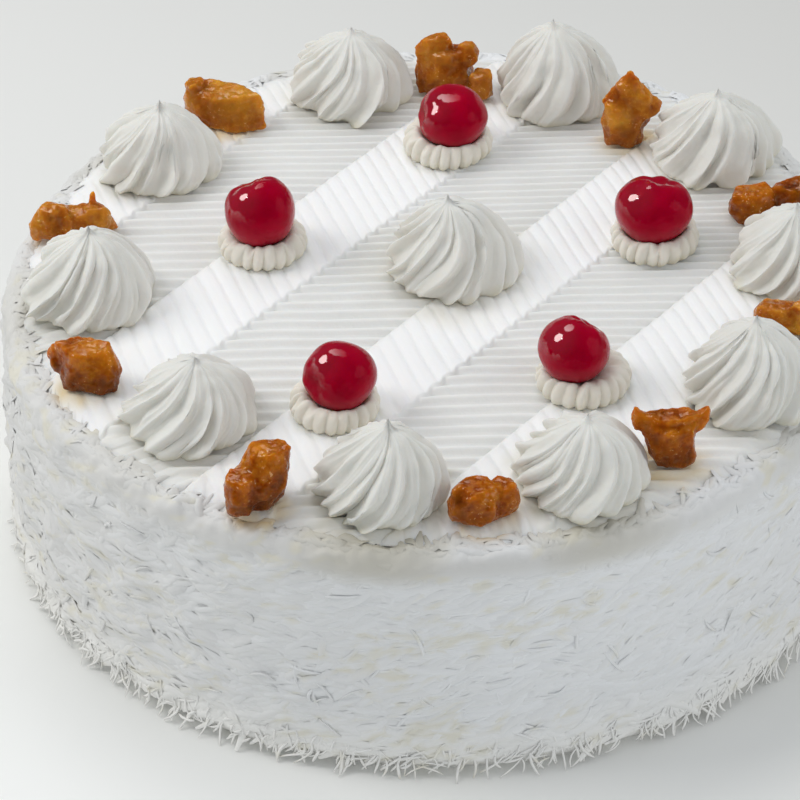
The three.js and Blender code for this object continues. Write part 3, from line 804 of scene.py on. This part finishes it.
# A cherry is a ball with a stem hollow pushed in and puckers round it: depths in mm, spreads in radians.
cherry = dict(columns=40, rows=26, hollowDepth=2.4, hollowSpread=0.42, puckers=6, puckerDepth=0.25,
              puckerPlace=0.5, puckerSpread=0.3, wrinkle=0.5, wrinkleSpread=0.95, wrinkleScale=3.2,
              unevenness=0.5, unevenScale=1.3, shine=(-0.5, -0.45, 0.74), shineSpread=0.55)
stemHollows = {1: (190, 10), 2: (130, 60), 3: (218, 8), 4: (40, 48), 5: (70, 70)}   # bearing, rise


def ballNoise(unit, scale, offset):
    return np.array([noise.noise(scale * Vector(spot) + Vector(offset)) for spot in unit])


def makeCherry(index):
    node = f"cherry_{index}"
    low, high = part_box(node)
    middle = (low + high) / 2
    half = (high - low) / 2
    dropSelection()
    bpy.ops.mesh.primitive_uv_sphere_add(segments=cherry["columns"], ring_count=cherry["rows"], radius=1,
                                         location=middle, scale=half)
    piece = takeNew(node + "_skin")
    bearing, rise = (math.radians(angle) for angle in stemHollows[index])
    aim = np.array((math.cos(bearing) * math.cos(rise), math.sin(bearing) * math.cos(rise), math.sin(rise)))
    places = getPlaces(piece.data)
    unit = (places - np.array(middle)) / np.array(half)
    off = np.arccos(np.clip(unit @ aim, -1, 1))
    side = np.cross(aim, (0.0, 0.0, 1.0))
    side /= np.linalg.norm(side)
    around = np.arctan2(unit @ np.cross(aim, side), unit @ side)
    hollow = cherry["hollowDepth"] * np.exp(-(off / cherry["hollowSpread"]) ** 2)
    pucker = cherry["puckerDepth"] * np.exp(-((off - cherry["puckerPlace"]) / cherry["puckerSpread"]) ** 2)
    pucker = pucker * np.cos(cherry["puckers"] * around)
    wrinkles = 1 - 2 * np.abs(ballNoise(unit, cherry["wrinkleScale"], (0, 0, 7 * index)))
    wrinkles = cherry["wrinkle"] * np.exp(-(off / cherry["wrinkleSpread"]) ** 2) * wrinkles ** 3
    uneven = cherry["unevenness"] * ballNoise(unit, cherry["unevenScale"], (index, 0, 0))
    setPlaces(piece.data, places - unit * (hollow + pucker + wrinkles + uneven)[:, None] * mm)
    subdivide(piece, 1)
    unit = (getPlaces(piece.data) - np.array(middle)) / np.array(half)
    off = np.arccos(np.clip(unit @ np.array(cherry["shine"]), -1, 1))
    paint(piece.data, "shine", np.exp(-(off / cherry["shineSpread"]) ** 4))
    smooth(piece)
    finishPiece(piece, cherrySkin, "cherry", node)


for index in range(1, 6):
    makeCherry(index)
print("cherries ready")


# A chunk of candied fruit is its solid remeshed, softened and roughened, sizes in millimetres.
fruit = dict(weld=0.02, voxel=0.45, softening=12, lump=5.0, lumpDepth=1.5, jag=1.8, jagDepth=0.75,
             edgeRounds=40, edgeScale=1.5, thinness=0.9, lowFade=9, lowShare=0.2,
             brown=("fruit_03", "fruit_04", "fruit_05", "fruit_06", "fruit_08"))
lowShares = {   # how dark the foot of a chunk is, where it isn't fruit["lowShare"]
    "fruit_03": 0.9, "fruit_04": 0.7, "fruit_06": 0.6, "fruit_08": 0.6, "fruit_09": 0.6, "fruit_10": 0.5}
litThinSpots = {   # yellow, see-through places painted lighter as painted light shining through: shares of the chunk's width, depth and height, and a size in mm
    "fruit_01": [(0.65, 0.3, 0.8, 8), (0.05, 0.5, 0.6, 4)],
    "fruit_02": [(0.78, 0.5, 1.0, 4), (0.05, 0.5, 0.3, 6)],
    "fruit_04": [(0.85, 0.3, 0.95, 4)],
    "fruit_06": [(0.1, 0.4, 0.95, 5), (0.95, 0.4, 0.9, 4)],
    "fruit_08": [(0.3, 0.3, 0.6, 4)],
    "fruit_09": [(0.3, 0.1, 0.4, 4)],
    "fruit_10": [(0.15, 0.3, 0.95, 6), (0.95, 0.2, 0.15, 6)],
}
fruitLumps = cloudTexture("fruitLumps", fruit["lump"] * mm)
fruitJags = cloudTexture("fruitJags", fruit["jag"] * mm, depth=3)


def bulgeOf(mesh, rounds):   # how far each point stands out of its surroundings, in millimetres
    places = getPlaces(mesh)
    ends = np.empty(len(mesh.edges) * 2, int)
    mesh.edges.foreach_get("vertices", ends)
    ends = ends.reshape(-1, 2)
    count = np.bincount(ends.ravel(), minlength=len(places))[:, None]
    soft = places
    for _ in range(rounds):
        total = np.zeros_like(soft)
        np.add.at(total, ends[:, 0], soft[ends[:, 1]])
        np.add.at(total, ends[:, 1], soft[ends[:, 0]])
        soft = total / count
    outward = np.empty(len(places) * 3)
    mesh.vertex_normals.foreach_get("vector", outward)
    return np.einsum("ij,ij->i", places - soft, outward.reshape(-1, 3)) / mm


def makeFruit(node):
    select(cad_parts[node])
    bpy.ops.object.duplicate()
    piece = bpy.context.object
    for key in list(piece.keys()):
        del piece[key]
    piece.parent = None
    piece.name = piece.data.name = node + "_chunk"
    bpy.ops.object.mode_set(mode="EDIT")
    bpy.ops.mesh.select_all(action="SELECT")
    bpy.ops.mesh.remove_doubles(threshold=fruit["weld"] * mm)
    select(piece)
    applyModifier(piece, "REMESH", mode="VOXEL", voxel_size=fruit["voxel"] * mm, adaptivity=0)
    applyModifier(piece, "SMOOTH", factor=0.5, iterations=fruit["softening"])
    roughen(piece, fruitLumps, fruit["lumpDepth"] * mm)
    roughen(piece, fruitJags, fruit["jagDepth"] * mm)
    smooth(piece)
    bulge = bulgeOf(piece.data, fruit["edgeRounds"])
    places = getPlaces(piece.data)
    low, high = (np.array(corner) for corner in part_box(node))
    rise = (places[:, 2] - low[2]) / mm
    facing = np.empty(len(places) * 3)
    piece.data.vertex_normals.foreach_get("vector", facing)
    paint(piece.data, "shine", np.clip(0.2 + 1.2 * facing[2::3], 0, 1))
    # painted light: where the chunk bulges or is thin it is painted lighter, as if lit through
    litThin = bulge / fruit["edgeScale"]
    for *shares, size in litThinSpots.get(node, []):
        away = np.linalg.norm(places - low - (high - low) * shares, axis=1) / (size * mm)
        litThin = np.maximum(litThin, fruit["thinness"] * np.exp(-away ** 2))
    paint(piece.data, "edge", np.clip(litThin, 0, 1))
    lowShare = lowShares.get(node, fruit["lowShare"])
    paint(piece.data, "low", lowShare * np.clip(1 - rise / fruit["lowFade"], 0, 1))
    finish = fruitBrown if node in fruit["brown"] else fruitAmber
    finishPiece(piece, finish, "candied_fruit", node)


for node in fruitNodes:
    makeFruit(node)
print("fruit ready")


# Shredded coconut is laid in curved strips along the side, over the rim and out over the foot, in millimetres
# and degrees: lift is how far a strip stands off the coat, tip how much more its far end does.
coatPath = np.array([   # distance up the coat, radius, height
    (-3.6, 123.0, 0.8), (-1.8, 121.6, 1.1), (0, 120.3, 2.0), (2.5, 119.6, 4.2), (63.5, 119.5, 65),
    (68.5, 118.7, 69.8), (72.5, 116, 72.9), (76.5, 112.4, 73.3), (82, 107.2, 74.6), (110, 79.6, 75.0)])
strip = dict(radius=119.5, taper=[0.5, 0.93, 1.0, 0.93, 0.45], press=0.35, fluffLift=0.2, slopeStep=0.8,
             heaving=([0, 4, 67, 72], [0, 1, 1, 0]), tufted=([64.5, 68.5], [0, 1]),
             widest=123.1, lowest=0.2, swirlGap=1, fruitShare=0.75, depthBelow=2.5, steep=45)
openSection = [(-1, 0), (-0.45, 1), (0.45, 1), (1, 0)]   # half widths across, thicknesses up
closedSection = openSection + [(0, -0.5)]
shredKinds = {
    "coconutMat": dict(
        count=6000, low=4, high=72, length=(8, 17), width=(1.6, 3.2), thick=0.13, section=openSection,
        lift=(-0.3, -0.08), tip=(-0.1, 0.04), bend=1.5, tilt=13, spread=17, roll=0.05, fluffed=0.6, seed=11),
    "coconutFibres": dict(
        count=3400, low=3, high=72, length=(5, 12), width=(0.7, 1.3), thick=0.17, section=openSection,
        lift=(-0.2, -0.04), tip=(-0.1, 0.05), bend=1.5, tilt=13, spread=24, roll=0.05, fluffed=0.5, seed=23),
    "coconutLoose": dict(
        count=160, low=4, high=72, length=(5, 11), width=(0.6, 1.1), thick=0.35, section=closedSection,
        lift=(-0.05, 0.15), tip=(0.0, 0.6), bend=1.6, tilt=0, spread=45, roll=0.2, fluffed=0.8, seed=37),
    "coconutFoot": dict(
        count=1100, low=0.4, high=7, length=(4, 9), width=(0.5, 1.0), thick=0.3, section=closedSection,
        lift=(-0.35, 0.1), tip=(-0.1, 0.8), bend=1.0, tilt=68, spread=34, roll=0.1, fluffed=0, seed=41),
    "coconutRim": dict(
        count=2000, low=63, high=76, length=(5, 11), width=(1.3, 2.6), thick=0.12, section=openSection,
        lift=(-0.26, -0.02), tip=(-0.1, 0.18), bend=1.6, tilt=20, spread=55, roll=0.08, fluffed=0.5, seed=53),
}


def onCoat(angle, up, lift):   # a place on the coat, lifted along its slope
    radius, height = (np.interp(up, coatPath[:, 0], column) for column in coatPath[:, 1:].T)
    above, below = up + strip["slopeStep"], up - strip["slopeStep"]
    slopeR, slopeZ = (np.interp(above, coatPath[:, 0], column) - np.interp(below, coatPath[:, 0], column)
                      for column in coatPath[:, 1:].T)
    size = np.maximum(np.hypot(slopeR, slopeZ), 1e-6)
    x, y = radius * np.cos(angle), radius * np.sin(angle)
    lift = lift + np.interp(up, *strip["heaving"]) * coatRelief(x, y, height)
    rim = np.interp(up, *strip["tufted"]) * rimRelief(x, y)
    radius = np.minimum(radius + slopeZ / size * lift, strip["widest"])
    height = np.maximum(height - slopeR / size * lift + rim, strip["lowest"])
    return np.stack((radius * np.cos(angle), radius * np.sin(angle), height), axis=-1)


def keepClear(lines):   # drops strips that would run into a swirl or a chunk of fruit
    keep = np.ones(len(lines), bool)
    for name in swirlNodes + fruitNodes:
        low, high = (np.array(corner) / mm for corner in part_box(name))
        half = (high - low) / 2
        reach = half[0] - strip["swirlGap"] if name in swirlNodes else half[:2].max() * strip["fruitShare"]
        near = np.linalg.norm(lines[..., :2] - (high + low)[:2] / 2, axis=-1) < reach
        keep &= ~np.any(near & (lines[..., 2] > low[2] - strip["depthBelow"]), axis=1)
    return keep


def stripFaces(count, corners, rows, closed):   # a tube or a bent ribbon for each strip, as rows of corners
    links = [(a, (a + 1) % corners) for a in range(corners if closed else corners - 1)]
    sides = [(corners * row + a, corners * (row + 1) + a, corners * (row + 1) + b, corners * row + b)
             for row in range(rows - 1) for a, b in links]
    base = np.arange(count)[:, None, None] * corners * rows
    faces = (base + np.array(sides)[None]).reshape(-1, 4).tolist()
    if closed:
        last = corners * (rows - 1)
        ends = [tuple(range(corners)), tuple(range(last + corners - 1, last - 1, -1))]
        faces += (base + np.array(ends)[None]).reshape(-1, corners).tolist()
    return faces


def makeShreds(name, count, low, high, length, width, thick, section, lift, tip, bend, tilt, spread, roll,
               fluffed, seed):
    chance = np.random.default_rng(seed)
    turn = chance.uniform(0, 2 * np.pi, count)
    up = chance.uniform(low, high, count)
    fluff = fluffed * fluffAt(turn)
    level = -np.sin(turn) if tilt < strip["steep"] else 1   # climbing right, or upright all round
    slant = np.radians(tilt * level + spread * (1 + 0.8 * fluff) * chance.normal(0, 1, count))
    half = chance.uniform(*length, count) / 2
    taper = np.array(strip["taper"])[None, :]
    along = np.linspace(-1, 1, taper.size)[None, :]
    bow = chance.uniform(-bend, bend, count)[:, None] * (1 - along ** 2)
    runA = half[:, None] * along * np.cos(slant)[:, None] - bow * np.sin(slant)[:, None]
    runB = half[:, None] * along * np.sin(slant)[:, None] + bow * np.cos(slant)[:, None]
    rise = chance.uniform(*lift, count)[:, None]
    rise = rise + chance.uniform(*tip, count)[:, None] * ((along + 1) / 2) ** 2
    rise = rise + strip["fluffLift"] * fluff[:, None] * chance.uniform(-0.5, 1, count)[:, None]
    rise = rise - strip["press"] * along ** 4   # both ends are pressed in
    wayA, wayB = np.gradient(runA, axis=1), np.gradient(runB, axis=1)
    pace = np.hypot(wayA, wayB)
    wide = chance.uniform(*width, count)[:, None] * taper / 2
    slope = chance.normal(0, roll, count)[:, None]
    corners = [onCoat(turn[:, None] + (runA - a * wide * wayB / pace) / strip["radius"],
                      up[:, None] + runB + a * wide * wayA / pace,
                      rise + wide * (2 * thick * b + a * slope)) for a, b in section]
    corners = np.stack(corners, axis=2)   # strip, place along it, corner of its section
    lines = corners[keepClear(corners.mean(axis=2))]
    mesh = bpy.data.meshes.new(name)
    faces = stripFaces(len(lines), len(section), taper.size, section is closedSection)
    mesh.from_pydata((lines.reshape(-1, 3) * mm).tolist(), [], faces)
    piece = bpy.data.objects.new(name, mesh)
    bpy.context.scene.collection.objects.link(piece)
    tone = np.repeat(chance.uniform(0.75, 1, len(lines)), len(section) * taper.size)
    paintCoat(mesh, tone, hollow=0.55, syrup=0.8)
    smooth(piece)
    finishPiece(piece, coconutWhite, "icing", "cake_body")
    print(name, len(lines), "strips")


for name, settings in shredKinds.items():
    makeShreds(name, **settings)
print("coconut ready")
